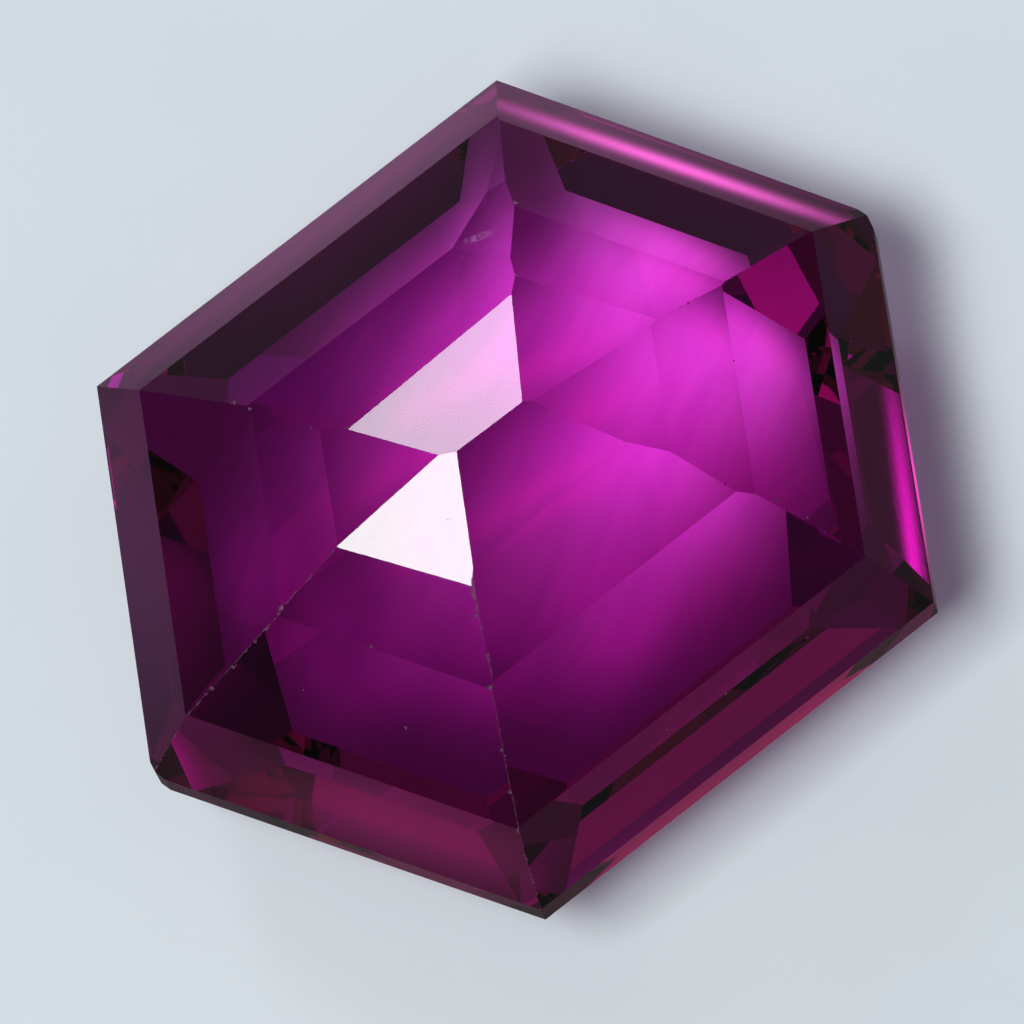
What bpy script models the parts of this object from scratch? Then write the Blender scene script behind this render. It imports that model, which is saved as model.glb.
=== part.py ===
# A hexagonal step-cut sapphire, lying on its table with the culet up.
# The stone is the space inside its facets: a blank is cut once for each facet, as on a lap.
# Lengths are in millimetres and angles in degrees until MM and radians turn them into Blender's units.

import math
from collections import namedtuple

import bmesh
import bpy
from mathutils import Vector

MM = 0.001

Side = namedtuple("Side", "heading starts slopes last_turn")

# The six sides of the outline, seen from above the culet and named after the compass, with north along +Y.
# heading is where a side faces, counter-clockwise from +X.
# The pavilion climbs from the girdle to the culet in four steps. starts says how far from the stone's axis
# each step begins, level and square to the side, and slopes how steep it is, from level.
# The last step was polished slightly askew, by last_turn.
SIDES = {
    "north": Side(89.5, (3.52, 2.97, 1.88, 0.95), (57.0, 41.5, 28.0, 21.0), -1.0),
    "north_west": Side(150.5, (3.97, 3.47, 2.30, 1.62), (59.5, 40.5, 29.0, 20.5), -0.5),
    "south_west": Side(211.5, (3.88, 3.35, 2.29, 1.48), (58.5, 42.0, 28.0, 21.0), -1.0),
    "south": Side(270.0, (3.54, 2.97, 1.90, 0.96), (57.0, 42.5, 27.0, 21.5), -0.5),
    "south_east": Side(331.0, (3.97, 3.42, 2.50, 1.77), (58.5, 43.0, 30.5, 21.5), 0.0),
    "north_east": Side(30.5, (3.92, 3.35, 2.40, 1.66), (58.0, 40.5, 32.0, 21.5), -2.0),
}

# The crown, under the girdle, widens from the table in two steps: (slope, height) of each, lowest first.
CROWN_STEPS = ((23.0, 0.54), (39.5, 0.46))
GIRDLE_BAND = 0.42
BLANK_SIDE = 16.0
CUT_TOLERANCE = 0.0001

PINK_PURPLE = (0.62, 0.06, 0.46, 1.0)
POLISH_ROUGHNESS = 0.02
CORUNDUM_IOR = 1.765


def clear_scene():
    for old in list(bpy.data.objects):
        bpy.data.objects.remove(old)


def facet_normal(heading, slope):
    """The outward direction of a facet; a slope over 90 faces it downwards."""
    heading, slope = math.radians(heading), math.radians(slope)
    return Vector((math.sin(slope) * math.cos(heading), math.sin(slope) * math.sin(heading), math.cos(slope)))


def side_point(heading, reach, height):
    heading = math.radians(heading)
    return Vector((reach * math.cos(heading), reach * math.sin(heading), height))


def cut_facet(stone, point, normal):
    """Cuts away what lies beyond the facet's plane and closes the cut with the new face."""
    whole = stone.verts[:] + stone.edges[:] + stone.faces[:]
    cut = bmesh.ops.bisect_plane(
        stone, geom=whole, dist=CUT_TOLERANCE * MM, plane_co=point * MM, plane_no=normal, clear_outer=True
    )
    rim = [piece for piece in cut["geom_cut"] if isinstance(piece, bmesh.types.BMEdge)]
    bmesh.ops.contextual_create(stone, geom=rim)


def cut_pavilion(stone, side, girdle_top):
    """Four steps from the girdle up, each starting on the one below it."""
    centre = Vector((0, 0, girdle_top))
    turns = (0.0, 0.0, 0.0, side.last_turn)
    reach, rise, slope_below = side.starts[0], 0.0, 0.0
    for start, slope, turn in zip(side.starts, side.slopes, turns):
        rise += (reach - start) * math.tan(math.radians(slope_below))
        reach, slope_below = start, slope
        # A facet turned askew stays as far from the girdle's centre as it would be unturned.
        depth = facet_normal(side.heading, slope).dot(side_point(side.heading, reach, rise))
        normal = facet_normal(side.heading + turn, slope)
        cut_facet(stone, centre + normal * depth, normal)


def cut_crown(stone, side, girdle_base):
    """The crown's steps from the girdle down to the table."""
    reach, height = side.starts[0], girdle_base
    for slope, step_height in reversed(CROWN_STEPS):
        cut_facet(stone, side_point(side.heading, reach, height), facet_normal(side.heading, 180.0 - slope))
        reach -= step_height / math.tan(math.radians(slope))
        height -= step_height


def build_stone():
    girdle_base = sum(step_height for _, step_height in CROWN_STEPS)
    girdle_top = girdle_base + GIRDLE_BAND
    stone = bmesh.new()
    bmesh.ops.create_cube(stone, size=BLANK_SIDE * MM)
    for side in SIDES.values():
        girdle_point = side_point(side.heading, side.starts[0], girdle_base)
        cut_facet(stone, girdle_point, facet_normal(side.heading, 90.0))
        cut_pavilion(stone, side, girdle_top)
        cut_crown(stone, side, girdle_base)
    cut_facet(stone, Vector((0, 0, 0)), Vector((0, 0, -1)))
    bmesh.ops.recalc_face_normals(stone, faces=stone.faces[:])
    mesh = bpy.data.meshes.new("sapphire")
    stone.to_mesh(mesh)
    stone.free()
    sapphire = bpy.data.objects.new("sapphire", mesh)
    bpy.context.scene.collection.objects.link(sapphire)
    return sapphire


def sapphire_material():
    material = bpy.data.materials.new("pink_purple_corundum")
    material.use_nodes = True
    shader = material.node_tree.nodes["Principled BSDF"]
    shader.inputs["Base Color"].default_value = PINK_PURPLE
    shader.inputs["Roughness"].default_value = POLISH_ROUGHNESS
    shader.inputs["Metallic"].default_value = 0.0
    shader.inputs["Transmission Weight"].default_value = 1.0
    shader.inputs["IOR"].default_value = CORUNDUM_IOR
    return material


clear_scene()
build_stone().data.materials.append(sapphire_material())
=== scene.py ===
import math
import random
import bmesh
import bpy
from mathutils import Matrix, Vector, noise


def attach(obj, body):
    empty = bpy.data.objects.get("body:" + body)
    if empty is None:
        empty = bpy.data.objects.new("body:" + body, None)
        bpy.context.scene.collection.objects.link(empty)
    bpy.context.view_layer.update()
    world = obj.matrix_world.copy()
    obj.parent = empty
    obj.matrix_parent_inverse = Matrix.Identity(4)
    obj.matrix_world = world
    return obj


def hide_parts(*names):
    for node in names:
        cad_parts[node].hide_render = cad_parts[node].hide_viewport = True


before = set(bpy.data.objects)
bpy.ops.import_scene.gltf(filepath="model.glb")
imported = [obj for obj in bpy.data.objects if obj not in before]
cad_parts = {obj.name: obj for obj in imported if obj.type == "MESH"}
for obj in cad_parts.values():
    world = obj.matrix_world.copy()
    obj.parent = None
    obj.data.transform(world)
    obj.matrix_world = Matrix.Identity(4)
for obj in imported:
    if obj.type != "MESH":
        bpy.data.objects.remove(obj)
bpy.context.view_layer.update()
scene = bpy.context.scene
print("frame loaded:", sorted(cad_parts))

perMetre = 1000.0  # the stone is worked in millimetres and brought to metres at the end


def towards(azimuth, elevation):
    # unit vector, azimuth from +X towards +Y
    a = math.radians(azimuth)
    e = math.radians(elevation)
    return Vector((math.cos(e) * math.cos(a), math.cos(e) * math.sin(a), math.sin(e)))


def newMaterial(name):
    material = bpy.data.materials.new(name)
    material.use_nodes = True
    material.node_tree.nodes.clear()
    return material, material.node_tree


def addNode(tree, kind, values=None, links=None, **settings):
    node = tree.nodes.new(kind)
    for key, value in settings.items():
        setattr(node, key, value)
    for key, value in (values or {}).items():
        node.inputs[key].default_value = value
    for key, socket in (links or {}).items():
        tree.links.new(socket, node.inputs[key])
    return node


def feed(tree, node, inputs):
    # each input is either another node's output or a plain value
    for index, value in inputs:
        if isinstance(value, bpy.types.NodeSocket):
            tree.links.new(value, node.inputs[index])
        else:
            node.inputs[index].default_value = value


def mixColour(tree, factor, first, second):
    # on a Mix node, inputs 6 and 7 are the colours and output 2 is what they make
    node = addNode(tree, "ShaderNodeMix", data_type="RGBA")
    feed(tree, node, ((0, factor), (6, first), (7, second)))
    return node.outputs[2]


def mathNode(tree, operation, *values):
    node = addNode(tree, "ShaderNodeMath", operation=operation)
    feed(tree, node, enumerate(values))
    return node.outputs[0]


def rescale(tree, value, fromRange, toRange=(0.0, 1.0)):
    node = addNode(tree, "ShaderNodeMapRange",
                   {1: fromRange[0], 2: fromRange[1], 3: toRange[0], 4: toRange[1]},
                   {0: value}, interpolation_type="SMOOTHSTEP")
    return node.outputs[0]


def noiseValue(tree, coordinates, pattern):
    # a pattern is the scale, detail and roughness of its noise
    scale, detail, roughness = pattern
    node = addNode(tree, "ShaderNodeTexNoise",
                   {"Scale": scale, "Detail": detail, "Roughness": roughness},
                   {"Vector": coordinates})
    return node.outputs["Fac"]


def turnedAbout(tree, place, degrees):
    # the same place, turned about the upright axis
    node = addNode(tree, "ShaderNodeVectorRotate",
                   {"Axis": (0.0, 0.0, 1.0), "Angle": math.radians(degrees)},
                   {"Vector": place}, rotation_type="AXIS_ANGLE")
    return node.outputs[0]


def vectorNode(tree, operation, first, second):
    node = addNode(tree, "ShaderNodeVectorMath", operation=operation)
    feed(tree, node, ((0, first), (1, second)))
    return node.outputs["Value" if operation == "DOT_PRODUCT" else "Vector"]


# Where the camera stands, and how much it takes in.
cameraValues = {
    "lens": 700.0,
    "sensor": 36.0,
    "clip": (0.001, 5.0),
    "acrossFrame": 0.01019,  # metres across the frame, at the point that it aims at
    "aim": (-0.0001177, -0.0001369, 0.0014228),
    "right": (0.78657217, -0.60635327, -0.11679014),
    "up": (0.61417733, 0.74863221, 0.24967182),
}


def placeCamera(values):
    data = bpy.data.cameras.new("stoneCamera")
    data.lens = values["lens"]
    data.sensor_width = values["sensor"]
    data.clip_start, data.clip_end = values["clip"]
    right = Vector(values["right"]).normalized()
    up = Vector(values["up"])
    up = (up - right * up.dot(right)).normalized()
    back = right.cross(up)
    distance = values["acrossFrame"] * values["lens"] / values["sensor"]
    place = Vector(values["aim"]) + back * distance
    camera = bpy.data.objects.new("stoneCamera", data)
    scene.collection.objects.link(camera)
    camera.matrix_world = Matrix((
        (right.x, up.x, back.x, place.x),
        (right.y, up.y, back.y, place.y),
        (right.z, up.z, back.z, place.z),
        (0.0, 0.0, 0.0, 1.0),
    ))
    scene.camera = camera


placeCamera(cameraValues)
print("camera placed")

# The board that the stone lies on, and the light of the room.
stageValues = {
    "floorHalf": 0.6,
    "floorGap": 0.00002,         # between the table facet and the board
    "floorColour": (0.700, 0.733, 0.785, 1.0),
    "floorShade": (0.646, 0.684, 0.745, 1.0),
    "shadeShare": 0.35,
    "cloudPattern": (260.0, 3.0, 0.5),
    "cloudRange": (0.35, 0.65),
    "grainPattern": (9000.0, 2.0, 0.6),
    "grainDepth": 0.00002,
    "grainStrength": 0.04,
    "floorRoughness": 0.75,
    "floorGloss": 0.2,
    "worldSeen": (0.62, 0.67, 0.73, 1.0),
    "worldAmbient": (0.175, 0.188, 0.207, 1.0),
    "worldMirrored": (0.026, 0.025, 0.028, 1.0),
}

# Painted pools of light on the board, as emission that only rays through the stone meet, in millimetres and
# degrees:
# centre, spread along and across, turn, colour.
paintedLightThroughStone = {
    "peak": ((1.90, 0.36), (0.51, 0.22), 105.0, (0.642, 0.305, 0.625)),
    "heart": ((1.51, 0.39), (0.27, 0.55), 10.0, (0.402, 0.328, 0.475)),
    "shoulder": ((1.03, 0.32), (0.48, 0.60), 19.0, (0.660, 0.316, 0.690)),
    "middle": ((-0.06, 0.45), (0.57, 0.61), 151.0, (0.290, 0.159, 0.288)),
    "middleStreak": ((0.22, 0.46), (0.60, 0.12), 172.0, (0.14, 0.0, 0.07)),
    "southTail": ((0.15, -0.61), (0.59, 0.39), 22.0, (0.268, 0.028, 0.235)),
    "southEastTail": ((1.49, -0.66), (0.38, 0.78), 127.0, (0.120, 0.010, 0.079)),
    "northTail": ((1.53, 1.31), (0.22, 0.53), 151.0, (0.136, 0.124, 0.151)),
    "westTail": ((-1.08, -0.09), (0.42, 0.38), 145.0, (0.091, 0.002, 0.081)),
    "farWestTail": ((-1.60, 0.52), (0.27, 0.51), 152.0, (0.073, 0.010, 0.065)),
    "northBoard": ((5.21, 17.73), (1.98, 6.00), 124.0, (0.378, 0.396, 0.420)),
    "northEastBoard": ((4.92, 6.57), (2.02, 1.46), 18.0, (1.125, 1.041, 0.910)),
    "northWestBoard": ((-28.32, 25.50), (1.15, 1.30), 138.0, (1.75, 1.60, 1.75)),
    "wholeBoard": ((0.0, 0.0), (300.0, 300.0), 0.0, (0.050, 0.002, 0.043)),
}

# The same, as painted reflections: glows on the board that only the polished facets mirror.
paintedMirrorGlows = {
    "pinkGlow": ((0.95, 3.77), (2.85, 1.51), 0.0, (0.830, 0.308, 0.745)),
    "pinkStreak": ((5.12, 3.26), (1.1, 0.065), 119.5, (4.2, 0.50, 2.9)),
    "westPool": ((-5.40, 4.00), (1.30, 1.60), 0.0, (0.22, 0.03, 0.20)),
    "southWestPool": ((-8.95, -4.30), (1.30, 1.00), 114.8, (0.75, 0.07, 0.33)),
    "throughGirdle": ((3.55, -2.20), (0.45, 0.50), 0.0, (1.20, 0.03, 0.72)),
    "wholeBoard": ((0.0, 0.0), (300.0, 300.0), 0.0, (0.078, 0.078, 0.078)),
}

# Glows in the room, seen only through the stone: azimuth, elevation, how tight, colour.
# A tightness of nothing is the same all round.
roomLight = {
    "allRound": (0.0, 90.0, 0.0, (0.012, 0.018, 0.013)),
    "eastWall": (41.0, 27.0, 25.5, (0.177, 0.136, 0.101)),
    "northWall": (94.0, 25.0, 5.4, (0.123, 0.082, 0.075)),
    "westWall": (166.0, 6.0, 1.4, (0.018, 0.045, 0.026)),
    "southPanel": (288.0, 50.0, 32.8, (1.000, 1.382, 1.690)),
    "northWestPanel": (129.0, 67.0, 40.7, (1.664, 1.613, 1.623)),
    "southEastPanel": (340.0, 62.0, 54.3, (0.795, 0.719, 0.629)),
    "lowWestGap": (195.5, 1.8, 900.0, (1.45, 1.10, 1.00)),
    "northGap": (86.0, 23.0, 400.0, (0.29, 0.05, 0.08)),
    "westPanel": (196.0, 46.0, 60.0, (1.3, 1.3, 1.3)),
    "southWestPanel": (255.0, 38.0, 70.0, (1.1, 1.1, 1.15)),
    "eastPanel": (350.0, 40.0, 60.0, (1.2, 1.15, 1.1)),
}

lampValues = {
    "keySoftbox": {"azimuth": 180.0, "elevation": 66.5, "distance": 0.30, "wide": 0.18, "high": 0.122,
                   "radiance": 11.2, "colour": (0.955, 1.0, 0.965)},
    "sideSoftbox": {"azimuth": 84.6, "elevation": 33.0, "distance": 0.40, "wide": 0.10, "high": 0.10,
                    "radiance": 6.3, "colour": (0.93, 0.90, 1.0)},
}


def addSoftbox(name, values):
    data = bpy.data.lights.new(name, "AREA")
    data.shape = "RECTANGLE"
    data.size = values["wide"]
    data.size_y = values["high"]
    # a one-sided Lambert emitter: power = pi x area x radiance
    data.energy = math.pi * values["wide"] * values["high"] * values["radiance"]
    data.color = values["colour"]
    lamp = bpy.data.objects.new(name, data)
    scene.collection.objects.link(lamp)
    lamp.visible_transmission = False
    back = towards(values["azimuth"], values["elevation"])
    turn = back.to_track_quat("Z", "Y").to_matrix().to_4x4()
    lamp.matrix_world = Matrix.Translation(back * values["distance"]) @ turn


for lampName, lampSet in lampValues.items():
    addSoftbox(lampName, lampSet)


def scaled(tree, colour, amount):
    node = addNode(tree, "ShaderNodeVectorMath", {0: colour}, {"Scale": amount}, operation="SCALE")
    return node.outputs[0]


def addAll(tree, colours):
    total = colours[0]
    for colour in colours[1:]:
        total = vectorNode(tree, "ADD", total, colour)
    return total


def makeWorld(values, glows):
    world = bpy.data.worlds.new("softSurround")
    scene.world = world
    world.use_nodes = True
    tree = world.node_tree
    tree.nodes.clear()
    path = addNode(tree, "ShaderNodeLightPath")
    direction = addNode(tree, "ShaderNodeTexCoord").outputs["Generated"]
    parts = []
    for azimuth, elevation, tightness, tint in glows.values():
        facing = vectorNode(tree, "DOT_PRODUCT", direction, towards(azimuth, elevation))
        lobe = mathNode(tree, "EXPONENT",
                        mathNode(tree, "MULTIPLY_ADD", facing, tightness, -tightness))
        parts.append(scaled(tree, tint, lobe))
    room = addAll(tree, parts)
    colour = mixColour(tree, path.outputs["Is Glossy Ray"], values["worldAmbient"], values["worldMirrored"])
    colour = mixColour(tree, path.outputs["Is Transmission Ray"], colour, room)
    colour = mixColour(tree, path.outputs["Is Camera Ray"], colour, values["worldSeen"])
    light = addNode(tree, "ShaderNodeBackground", {"Strength": 1.0}, {"Color": colour})
    addNode(tree, "ShaderNodeOutputWorld", links={"Surface": light.outputs[0]})


makeWorld(stageValues, roomLight)


def paintedGlowSpot(tree, place, centre, spread, turn, colour):
    # a painted glow on the board, as emission, that fades as a bell curve
    moved = vectorNode(tree, "ADD", place, (-centre[0] / perMetre, -centre[1] / perMetre, 0.0))
    turned = turnedAbout(tree, moved, -turn)
    sized = vectorNode(tree, "MULTIPLY", turned, (perMetre / spread[0], perMetre / spread[1], 0.0))
    squared = vectorNode(tree, "DOT_PRODUCT", sized, sized)
    bell = mathNode(tree, "EXPONENT", mathNode(tree, "MULTIPLY", squared, -0.5))
    return scaled(tree, colour, bell)


# adds painted glows into one emission colour
def paintedGlowSum(tree, place, glows):
    return addAll(tree, [paintedGlowSpot(tree, place, *glow) for glow in glows.values()])


def floorMaterial(values):
    material, tree = newMaterial("pale_board")
    place = addNode(tree, "ShaderNodeTexCoord").outputs["Object"]
    cloud = rescale(tree, noiseValue(tree, place, values["cloudPattern"]), values["cloudRange"])
    grain = noiseValue(tree, place, values["grainPattern"])
    colour = mixColour(tree, mathNode(tree, "MULTIPLY", cloud, values["shadeShare"]),
                       values["floorColour"], values["floorShade"])
    bump = addNode(tree, "ShaderNodeBump",
                   {"Strength": values["grainStrength"], "Distance": values["grainDepth"]}, {"Height": grain})
    board = addNode(tree, "ShaderNodeBsdfPrincipled",
                    {"Roughness": values["floorRoughness"], "Specular IOR Level": values["floorGloss"]},
                    {"Base Color": colour, "Normal": bump.outputs[0]})
    # rays mirrored in the stone see painted reflection glows and rays through the stone see painted pools of
    # light, both as emission; the camera sees the lit board
    path = addNode(tree, "ShaderNodeLightPath")
    paintedReflection = addNode(tree, "ShaderNodeEmission", {"Strength": 1.0},
                       {"Color": paintedGlowSum(tree, place, paintedMirrorGlows)})
    paintedPoolLight = addNode(tree, "ShaderNodeEmission", {"Strength": 1.0},
                       {"Color": paintedGlowSum(tree, place, paintedLightThroughStone)})
    inMirror = addNode(tree, "ShaderNodeMixShader",
                       links={0: path.outputs["Is Glossy Ray"], 1: board.outputs[0], 2: paintedReflection.outputs[0]})
    throughStone = addNode(tree, "ShaderNodeMixShader",
                           links={0: path.outputs["Is Transmission Ray"], 1: inMirror.outputs[0],
                                  2: paintedPoolLight.outputs[0]})
    addNode(tree, "ShaderNodeOutputMaterial", links={"Surface": throughStone.outputs[0]})
    return material


def makeFloor(values):
    half = values["floorHalf"]
    z = -values["floorGap"]
    mesh = bpy.data.meshes.new("floor")
    corners = [(-half, -half, z), (half, -half, z), (half, half, z), (-half, half, z)]
    mesh.from_pydata(corners, [], [(0, 1, 2, 3)])
    mesh.materials.append(floorMaterial(values))
    made = bpy.data.objects.new("floor", mesh)
    scene.collection.objects.link(made)
    return made


floor = makeFloor(stageValues)
print("floor and lights made")


# Headings of the six sides, in degrees from +X towards +Y, north first.
sideHeadings = (89.5, 150.5, 211.5, 270.0, 331.0, 30.5)

# Wear that took off a whole corner: in millimetres, plane normal and reach.
lostCorners = {
    "northEastUpper": ((0.11706, 0.52705, 0.84173), 3.8174),
    "northEastLower": ((0.11760, 0.59240, 0.79701), 3.8304),
}

# Girdle corners rounded by a lap, not cut to a point.
roundedCorners = {
    "headings": (0.75, 181.0),
    "radius": 0.34,
    "sideTurn": 30.0,      # from a corner's heading to that of the side next to it
    "fan": (-12.0, 12.0),  # headings of the small faces, from the corner's own
}

# How a facet stands, by the upward part of its normal.
facetTilt = {
    "wall": 0.05,          # less than this either way is the girdle
    "keel": 0.92,          # more than this is one of the flat faces by the keel
}

# Width in millimetres of the flat strip worn along each kind of edge.
edgeValues = {
    "widest": 0.08,        # the width that an edge weight of 1 gives
    "ridge": 0.007,        # corners between two sides of the pavilion
    "wornRidge": 0.016,
    "crest": 0.005,        # round the four-sided faces by the keel
    "step": 0.004,         # crisp edges between two steps of one side
    "girdleTop": 0.014,
    "girdleCorner": 0.03,
    "under": 0.006,        # the crown, hidden below the girdle
    "wornPairs": ((1, 2), (2, 3)),  # sides that the worn ridges part, as numbered above
}


# Millimetres and degrees.
cuttingValues = {"mergeWithin": 0.002, "flatWithin": 0.4, "tolerance": 0.0001}


def facetSolid(node):
    # the node's loose triangles, merged and joined again into whole flat facets, in mm
    solid = bmesh.new()
    solid.from_mesh(node.data)
    bmesh.ops.scale(solid, vec=Vector((perMetre,) * 3), verts=solid.verts)
    bmesh.ops.remove_doubles(solid, verts=solid.verts, dist=cuttingValues["mergeWithin"])
    bmesh.ops.dissolve_limit(solid, angle_limit=math.radians(cuttingValues["flatWithin"]),
                             verts=solid.verts, edges=solid.edges)
    return solid


def cutPlane(solid, normal, reach):
    found = bmesh.ops.bisect_plane(solid, geom=solid.verts[:] + solid.edges[:] + solid.faces[:],
                                   dist=cuttingValues["tolerance"], plane_co=normal * reach,
                                   plane_no=normal, clear_outer=True)
    rim = [e for e in found["geom_cut"] if isinstance(e, bmesh.types.BMEdge)]
    if rim:
        bmesh.ops.contextual_create(solid, geom=rim)


def takeCorners(solid):
    for normal, reach in lostCorners.values():
        cutPlane(solid, Vector(normal).normalized(), reach)
    for corner in roundedCorners["headings"]:
        outward = towards(corner, 0.0)
        farthest = max((v.co for v in solid.verts), key=outward.dot).copy()
        farthest.z = 0.0
        radius = roundedCorners["radius"]
        centre = farthest - outward * (radius / math.cos(math.radians(roundedCorners["sideTurn"])))
        for turn in roundedCorners["fan"]:
            normal = towards(corner + turn, 0.0)
            cutPlane(solid, normal, centre.dot(normal) + radius)
    solid.normal_update()


def sideOf(normal):
    # which of the six sides a facet belongs to
    h = math.degrees(math.atan2(normal.y, normal.x))
    return min(range(len(sideHeadings)), key=lambda i: abs((h - sideHeadings[i] + 180) % 360 - 180))


def edgeKind(edge):
    first, second = (f.normal for f in edge.link_faces)
    low = min(first.z, second.z)
    high = max(first.z, second.z)
    if low < -facetTilt["wall"]:
        return "under"
    if high < facetTilt["wall"]:
        return "girdleCorner"
    pair = tuple(sorted((sideOf(first), sideOf(second))))
    if low > facetTilt["keel"]:
        return "crest"
    if pair[0] != pair[1]:
        return "wornRidge" if pair in edgeValues["wornPairs"] else "ridge"
    return "girdleTop" if low < facetTilt["wall"] else "step"


def newPiece(name, mesh):
    piece = bpy.data.objects.new(name, mesh)
    scene.collection.objects.link(piece)
    return piece


def discard(piece):
    mesh = piece.data
    bpy.data.objects.remove(piece)
    bpy.data.meshes.remove(mesh)


def settle(piece):
    # what the modifiers make, as the piece's own plain mesh
    graph = bpy.context.evaluated_depsgraph_get()
    graph.update()
    mesh = bpy.data.meshes.new_from_object(piece.evaluated_get(graph), depsgraph=graph)
    old = piece.data
    piece.modifiers.clear()
    piece.data = mesh
    mesh.name = piece.name
    bpy.data.meshes.remove(old)
    return mesh


def wireOf(name, edges):
    # a wire mesh of chosen edges, for a row of nicks to follow
    places = {}
    for edge in edges:
        for corner in edge.verts:
            places.setdefault(corner.index, (len(places), corner.co.copy()))
    mesh = bpy.data.meshes.new(name)
    points = [place for _, place in sorted(places.values(), key=lambda item: item[0])]
    mesh.from_pydata(points, [[places[v.index][0] for v in e.verts] for e in edges], [])
    return newPiece(name, mesh)


def newGroup(name, sockets):
    tree = bpy.data.node_groups.new(name, "GeometryNodeTree")
    tree.interface.new_socket("Geometry", in_out="INPUT", socket_type="NodeSocketGeometry")
    for label, kind in sockets:
        tree.interface.new_socket(label, in_out="INPUT", socket_type="NodeSocket" + kind)
    tree.interface.new_socket("Geometry", in_out="OUTPUT", socket_type="NodeSocketGeometry")
    return tree


# How the grains of a row differ from each other.
grainValues = {
    "clusterDetail": 1.0,
    "clusterRange": (0.50, 0.78),
    "sizeRange": (0.65, 1.25),
    "narrowest": (0.75, 0.75, 0.6),
    "widest": (1.5, 1.2, 1.0),
    "detail": 2,
    "faces": 80,
}
wholeTurn = 6.28  # radians, for pieces turned at random


def nickRowTree():
    # small broken grains of the edge, set along a line with gaps and clusters
    tree = newGroup("nickRow", (("Spacing", "Float"), ("Smallest", "Float"), ("Largest", "Float"),
                                ("Stray", "Float"), ("Cluster", "Float"), ("Seed", "Int"),
                                ("Finish", "Material")))
    given = addNode(tree, "NodeGroupInput").outputs
    line = addNode(tree, "GeometryNodeMeshToCurve", None, {"Mesh": given["Geometry"]})
    row = addNode(tree, "GeometryNodeResampleCurve", None,
                  {"Curve": line.outputs["Curve"], "Length": given["Spacing"]}, mode="LENGTH")
    back = mathNode(tree, "MULTIPLY", given["Stray"], -1.0)
    low = addNode(tree, "ShaderNodeCombineXYZ", None, dict.fromkeys(range(3), back)).outputs[0]
    high = addNode(tree, "ShaderNodeCombineXYZ", None, dict.fromkeys(range(3), given["Stray"])).outputs[0]
    stray = addNode(tree, "FunctionNodeRandomValue", None,
                    {0: low, 1: high, "Seed": given["Seed"]}, data_type="FLOAT_VECTOR").outputs[0]
    moved = addNode(tree, "GeometryNodeSetPosition", None, {"Geometry": row.outputs[0], "Offset": stray})
    place = addNode(tree, "GeometryNodeInputPosition").outputs[0]
    patch = addNode(tree, "ShaderNodeTexNoise", {"Detail": grainValues["clusterDetail"]},
                    {"Vector": place, "Scale": given["Cluster"]}).outputs["Fac"]
    share = rescale(tree, patch, grainValues["clusterRange"])
    spread = mathNode(tree, "SUBTRACT", given["Largest"], given["Smallest"])
    size = mathNode(tree, "MULTIPLY_ADD", share, spread, given["Smallest"])
    smallest, largest = grainValues["sizeRange"]
    chance = addNode(tree, "FunctionNodeRandomValue", {2: smallest, 3: largest}, {"Seed": given["Seed"]},
                     data_type="FLOAT").outputs[1]
    size = mathNode(tree, "MULTIPLY", size, chance)
    squash = addNode(tree, "FunctionNodeRandomValue",
                     {0: grainValues["narrowest"], 1: grainValues["widest"]},
                     {"Seed": given["Seed"]}, data_type="FLOAT_VECTOR").outputs[0]
    scale = addNode(tree, "ShaderNodeVectorMath", None, {0: squash, "Scale": size}, operation="SCALE")
    tumble = addNode(tree, "FunctionNodeRandomValue", {0: (0.0,) * 3, 1: (wholeTurn,) * 3},
                     {"Seed": given["Seed"]}, data_type="FLOAT_VECTOR").outputs[0]
    grain = addNode(tree, "GeometryNodeMeshIcoSphere",
                    {"Radius": 1.0, "Subdivisions": grainValues["detail"]})
    grains = addNode(tree, "GeometryNodeInstanceOnPoints", None,
                     {"Points": moved.outputs[0], "Instance": grain.outputs[0],
                      "Rotation": tumble, "Scale": scale.outputs[0]})
    made = addNode(tree, "GeometryNodeRealizeInstances", None, {0: grains.outputs[0]})
    finish = addNode(tree, "GeometryNodeSetMaterial", None,
                     {"Geometry": made.outputs[0], "Material": given["Finish"]})
    addNode(tree, "NodeGroupOutput", None, {0: finish.outputs[0]})
    return tree


# One row for each kind of edge, in millimetres; Cluster is how fine the crowding changes along it.
nickRows = {
    "wornRidge": {"Spacing": 0.019, "Smallest": 0.0065, "Largest": 0.026, "Stray": 0.008,
                  "Cluster": 4.5, "Seed": 11},
    "ridge": {"Spacing": 0.10, "Smallest": 0.004, "Largest": 0.015, "Stray": 0.004,
              "Cluster": 3.0, "Seed": 23},
    "crest": {"Spacing": 0.055, "Smallest": 0.003, "Largest": 0.009, "Stray": 0.004,
              "Cluster": 3.0, "Seed": 29},
    "step": {"Spacing": 0.19, "Smallest": 0.003, "Largest": 0.011, "Stray": 0.003,
             "Cluster": 2.2, "Seed": 37},
    "girdleTop": {"Spacing": 0.24, "Smallest": 0.005, "Largest": 0.016, "Stray": 0.004,
                  "Cluster": 1.8, "Seed": 41},
}

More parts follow.
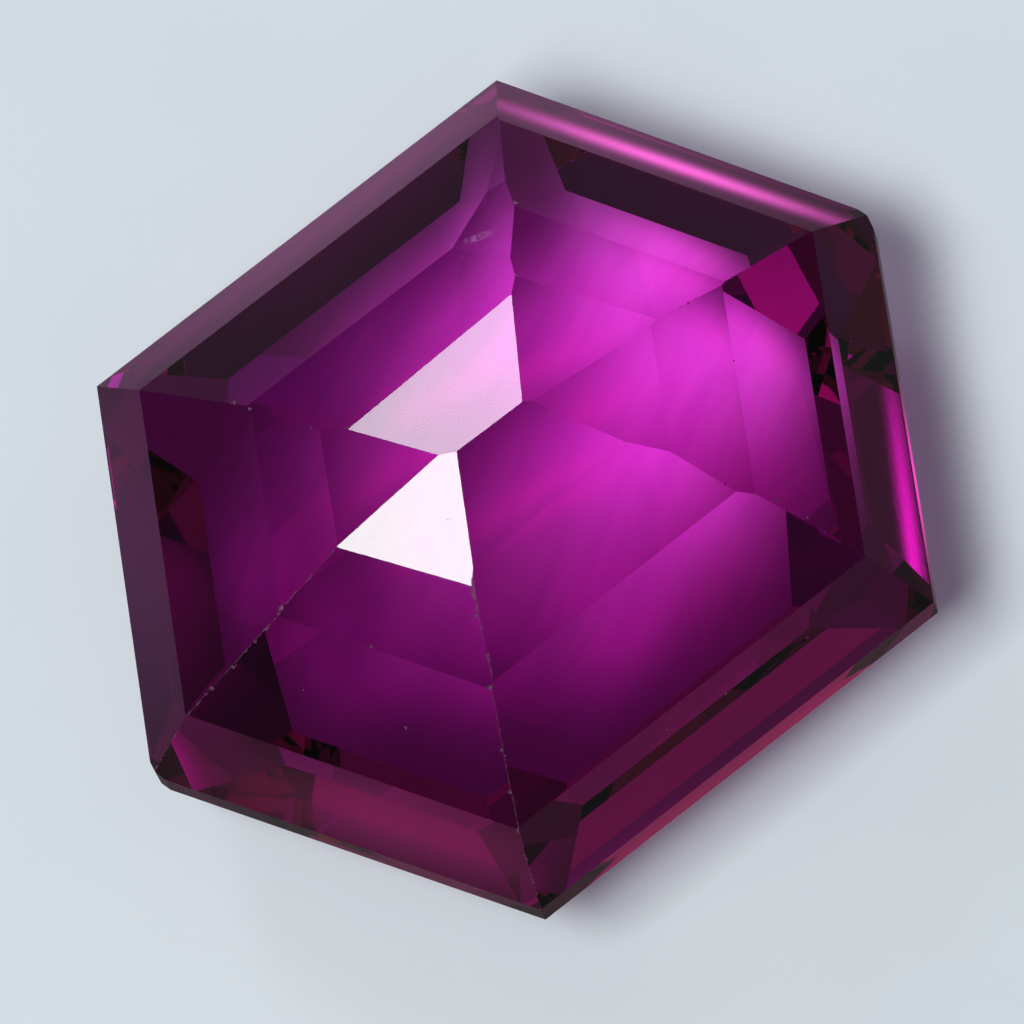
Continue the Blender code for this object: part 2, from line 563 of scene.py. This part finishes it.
# Single chips and pits: x, y, z, width of the bite, all in millimetres.
chipValues = {
    "bites": (
        (-2.633, 0.022, 3.266, 0.044), (-3.005, 0.003, 2.995, 0.020), (-3.311, -0.001, 2.759, 0.028),
        (-3.612, 0.014, 2.534, 0.034), (-1.194, -1.332, 3.545, 0.022), (-1.491, -1.924, 3.246, 0.028),
        (-1.769, -2.383, 2.822, 0.020), (-1.952, -2.697, 2.534, 0.024), (-2.119, -2.978, 2.264, 0.024),
        (-1.688, 2.038, 3.105, 0.024), (-1.625, 1.845, 3.249, 0.026), (-1.286, 1.212, 3.592, 0.018),
        (-1.015, 0.942, 3.735, 0.016), (1.726, 1.881, 3.108, 0.030), (1.232, 1.141, 3.618, 0.020),
        (1.882, -2.151, 2.999, 0.020), (2.024, -2.416, 2.764, 0.026),
    ),
    "pits": (
        (-0.819, -0.480, 3.874, 0.010), (-2.158, -0.842, 3.245, 0.014), (-2.919, -0.631, 2.763, 0.012),
        (-2.365, -1.575, 2.745, 0.014), (0.351, -3.130, 2.051, 0.016), (-0.328, -3.071, 2.142, 0.014),
    ),
    "seed": 5,
    "stretch": ((0.9, 1.5), (0.6, 1.0), (0.5, 0.9)),
    "unevenness": 0.45,
    "unevenScale": 2.1,
    "unevenShift": 9.0,               # a different part of the noise for each place
    "fineFrom": 0.012,                # a grain above this size is made with more faces
    "grainShares": (0.75, 0.55, 0.45),  # sizes of the grains in a bite, as shares of its width
    "grainStray": 1.4,                # how far grains stray, in widths of the bite
}


def addCutter(cutters, centre, size, draw):
    # an uneven ball, turned at random, so that no two bites look alike
    detail = 3 if size > chipValues["fineFrom"] else 2
    ball = bmesh.ops.create_icosphere(cutters, subdivisions=detail, radius=1.0)
    turn = Matrix.Rotation(draw.uniform(0, wholeTurn), 4, "Z")
    turn = turn @ Matrix.Rotation(draw.uniform(0, wholeTurn), 4, "X")
    stretch = Matrix.Diagonal([draw.uniform(*span) for span in chipValues["stretch"]] + [1.0])
    for corner in ball["verts"]:
        place = corner.co * chipValues["unevenScale"] + Vector(centre) * chipValues["unevenShift"]
        rough = 1.0 + chipValues["unevenness"] * noise.noise(place)
        corner.co = Vector(centre) + (turn @ stretch @ (corner.co * rough)) * size


def chipCutters(rowPieces, finish):
    # every nick, bite and pit as one mesh that the stone is then cut with
    cutters = bmesh.new()
    draw = random.Random(chipValues["seed"])
    far = chipValues["grainStray"]
    for x, y, z, width in chipValues["bites"]:
        # a bite is a few grains gone side by side, and the smallest ones stray farthest
        for share in chipValues["grainShares"]:
            stray = Vector([draw.uniform(-far, far) * width for _ in range(3)]) * (1.0 - share)
            addCutter(cutters, Vector((x, y, z)) + stray, width * share, draw)
    for x, y, z, width in chipValues["pits"]:
        addCutter(cutters, (x, y, z), width, draw)
    for piece in rowPieces:
        cutters.from_mesh(piece.data)
        discard(piece)
    mesh = bpy.data.meshes.new("chipCutters")
    cutters.to_mesh(mesh)
    cutters.free()
    mesh.materials.append(finish)
    return newPiece("chipCutters", mesh)


stoneSolid = facetSolid(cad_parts["sapphire"])
print("stone facets:", len(stoneSolid.faces))
takeCorners(stoneSolid)
weights = stoneSolid.edges.layers.float.new("bevel_weight_edge")
stoneSolid.edges.index_update()
stoneSolid.verts.index_update()
edgesByKind = {}
for edge in stoneSolid.edges:
    kind = edgeKind(edge)
    edge[weights] = edgeValues[kind] / edgeValues["widest"]
    edgesByKind.setdefault(kind, []).append(edge)
rows = {kind: wireOf(kind + "Row", edgesByKind[kind]) for kind in nickRows}
wornLines = [tuple(v.co.copy() for v in e.verts) for e in edgesByKind["wornRidge"]]
stoneMesh = bpy.data.meshes.new("faceted_sapphire_stone")
stoneSolid.to_mesh(stoneMesh)
stoneSolid.free()

polishedMark = bpy.data.materials.new("polished_mark")
stripMark = bpy.data.materials.new("strip_mark")
brokenMark = bpy.data.materials.new("broken_mark")
for mark in (polishedMark, stripMark):
    stoneMesh.materials.append(mark)
stone = newPiece("worn_sapphire", stoneMesh)
softening = stone.modifiers.new("edgeSoftening", "BEVEL")
softening.limit_method = "WEIGHT"
softening.width = edgeValues["widest"]
softening.segments = 1
softening.material = 1  # the strips take the second mark
settle(stone)
print("edges softened:", len(stone.data.polygons), "faces")

rowTree = nickRowTree()
identifiers = {item.name: item.identifier for item in rowTree.interface.items_tree if item.in_out == "INPUT"}
for kind, piece in rows.items():
    modifier = piece.modifiers.new("nickRow", "NODES")
    modifier.node_group = rowTree
    for label, value in nickRows[kind].items():
        modifier[identifiers[label]] = value
    modifier[identifiers["Finish"]] = brokenMark
    settle(piece)
    print("nicks along", kind, len(piece.data.polygons) // grainValues["faces"])

cutter = chipCutters(rows.values(), brokenMark)
chipping = stone.modifiers.new("chipping", "BOOLEAN")
chipping.operation = "DIFFERENCE"
chipping.solver = "EXACT"
chipping.use_self = True
chipping.material_mode = "TRANSFER"
chipping.object = cutter
settle(stone)
discard(cutter)
print("stone chipped:", len(stone.data.polygons), "faces")


def lineDistance(point, line):
    start, end = line
    along = end - start
    share = max(0.0, min(1.0, (point - start).dot(along) / along.length_squared))
    return (point - start - along * share).length


# How worn each kind of face is, from 0 to 1, and how near a worn ridge its strip lies, in millimetres.
wearValues = {"broken": 1.0, "wornStrip": 0.75, "strip": 0.12, "polished": 0.0, "nearRidge": 0.03}


def markWear(piece):
    # written to each face, from the mark that its making left there
    mesh = piece.data
    wear = mesh.attributes.new("wear", "FLOAT", "FACE")
    names = [material.name for material in mesh.materials]
    for polygon in mesh.polygons:
        mark = names[polygon.material_index]
        if mark == "broken_mark":
            value = wearValues["broken"]
        elif mark == "strip_mark":
            near = min(lineDistance(polygon.center, line) for line in wornLines) < wearValues["nearRidge"]
            value = wearValues["wornStrip" if near else "strip"]
        else:
            value = wearValues["polished"]
        wear.data[polygon.index].value = value
        polygon.use_smooth = False


markWear(stone)
stone.data.transform(Matrix.Scale(1 / perMetre, 4))

# Lengths in metres, and scales of patterns per metre.
corundumValues = {
    "ior": 1.765,
    "absorbColour": (0.94, 0.10, 0.872, 1.0),
    "absorbDensity": 780.0,
    "polishHaze": 0.012,
    "hazePattern": (1500.0, 4.0, 0.5),
    "hazeRange": (0.35, 0.75),
    "brokenRoughness": 0.30,
    "brokenGrain": 0.00002,
    "brokenPattern": (90000.0, 3.0, 0.65),
    "brokenDust": 0.40,
    "dustRoughness": 0.5,
    "clearTint": (1.0, 1.0, 1.0, 1.0),
    "bandTint": (0.89, 0.74, 0.92, 1.0),
    "bandTurn": 62.0,
    "bandStretch": (2600.0, 260.0, 900.0),
    "bandPattern": (1.0, 3.0, 0.55),
    "bandRange": (0.42, 0.66),
    "polishTurn": 18.0,
    "polishStretch": (60000.0, 900.0, 9000.0),
    "polishPattern": (1.0, 2.0, 0.6),
    "polishLine": 0.000000015,
    # a scuffed patch on the north side: its middle, turn and half sizes
    "scuffPlace": (0.001225, 0.001790, 0.003270),
    "scuffTurn": -18.0,
    "scuffHalf": (0.00024, 0.00007, 0.00030),
    "scuffFade": (0.2, 1.0),
    "scuffPattern": (26000.0, 3.0, 0.7),
    "scuffRange": (0.42, 0.62),
}


def turnedPattern(tree, place, turn, stretch, pattern):
    # noise drawn out along one heading, as growth bands and polish lines are
    drawn = vectorNode(tree, "MULTIPLY", turnedAbout(tree, place, turn), stretch)
    return noiseValue(tree, drawn, pattern)


def scuffShare(tree, place, values):
    # 1 in the middle of the scuffed patch, speckled, and 0 outside it
    moved = vectorNode(tree, "ADD", place, [-part for part in values["scuffPlace"]])
    turned = turnedAbout(tree, moved, -values["scuffTurn"])
    sized = vectorNode(tree, "MULTIPLY", turned, [1 / half for half in values["scuffHalf"]])
    away = addNode(tree, "ShaderNodeVectorMath", None, {0: sized}, operation="LENGTH")
    inside = rescale(tree, away.outputs["Value"], values["scuffFade"], (1.0, 0.0))
    speckle = rescale(tree, noiseValue(tree, place, values["scuffPattern"]), values["scuffRange"])
    return mathNode(tree, "MULTIPLY", inside, speckle)


def corundumMaterial(values):
    material, tree = newMaterial("pink_purple_corundum")
    place = addNode(tree, "ShaderNodeTexCoord").outputs["Object"]
    broken = addNode(tree, "ShaderNodeAttribute", attribute_name="wear").outputs["Fac"]
    wear = mathNode(tree, "MAXIMUM", broken, scuffShare(tree, place, values))
    haze = rescale(tree, noiseValue(tree, place, values["hazePattern"]), values["hazeRange"],
                   (0.0, values["polishHaze"]))
    rough = mathNode(tree, "MULTIPLY_ADD", wear, values["brokenRoughness"], haze)
    growth = turnedPattern(tree, place, values["bandTurn"], values["bandStretch"], values["bandPattern"])
    bands = rescale(tree, growth, values["bandRange"])
    tint = mixColour(tree, bands, values["clearTint"], values["bandTint"])
    lines = turnedPattern(tree, place, values["polishTurn"], values["polishStretch"],
                          values["polishPattern"])
    polished = addNode(tree, "ShaderNodeBump", {"Distance": values["polishLine"], "Strength": 1.0},
                       {"Height": lines})
    grain = noiseValue(tree, place, values["brokenPattern"])
    bump = addNode(tree, "ShaderNodeBump", {"Distance": values["brokenGrain"]},
                   {"Height": grain, "Strength": wear, "Normal": polished.outputs[0]})
    dust = mathNode(tree, "MULTIPLY", wear, values["brokenDust"])
    glass = addNode(tree, "ShaderNodeBsdfPrincipled",
                    {"IOR": values["ior"], "Transmission Weight": 1.0,
                     "Sheen Roughness": values["dustRoughness"]},
                    {"Base Color": tint, "Roughness": rough, "Normal": bump.outputs[0],
                     "Sheen Weight": dust})
    inside = addNode(tree, "ShaderNodeVolumeAbsorption",
                     {"Color": values["absorbColour"], "Density": values["absorbDensity"]})
    addNode(tree, "ShaderNodeOutputMaterial",
            links={"Surface": glass.outputs[0], "Volume": inside.outputs[0]})
    return material


stone.data.materials.clear()
stone.data.materials.append(corundumMaterial(corundumValues))
for mark in (polishedMark, stripMark, brokenMark):
    bpy.data.materials.remove(mark)


def reportSolid(piece):
    solid = bmesh.new()
    solid.from_mesh(piece.data)
    openEdges = sum(1 for edge in solid.edges if not edge.is_manifold)
    volume = round(solid.calc_volume() * perMetre ** 3, 3)
    solid.free()
    print("open edges:", openEdges, "volume mm3:", volume)


reportSolid(stone)

# Light inside a cut stone turns many times before it leaves.
bounceValues = {"max_bounces": 14, "transmission_bounces": 14, "diffuse_bounces": 4, "glossy_bounces": 8}
for setting, most in bounceValues.items():
    setattr(scene.cycles, setting, most)
scene.view_settings.view_transform = "Standard"

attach(stone, "root")
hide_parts("sapphire")
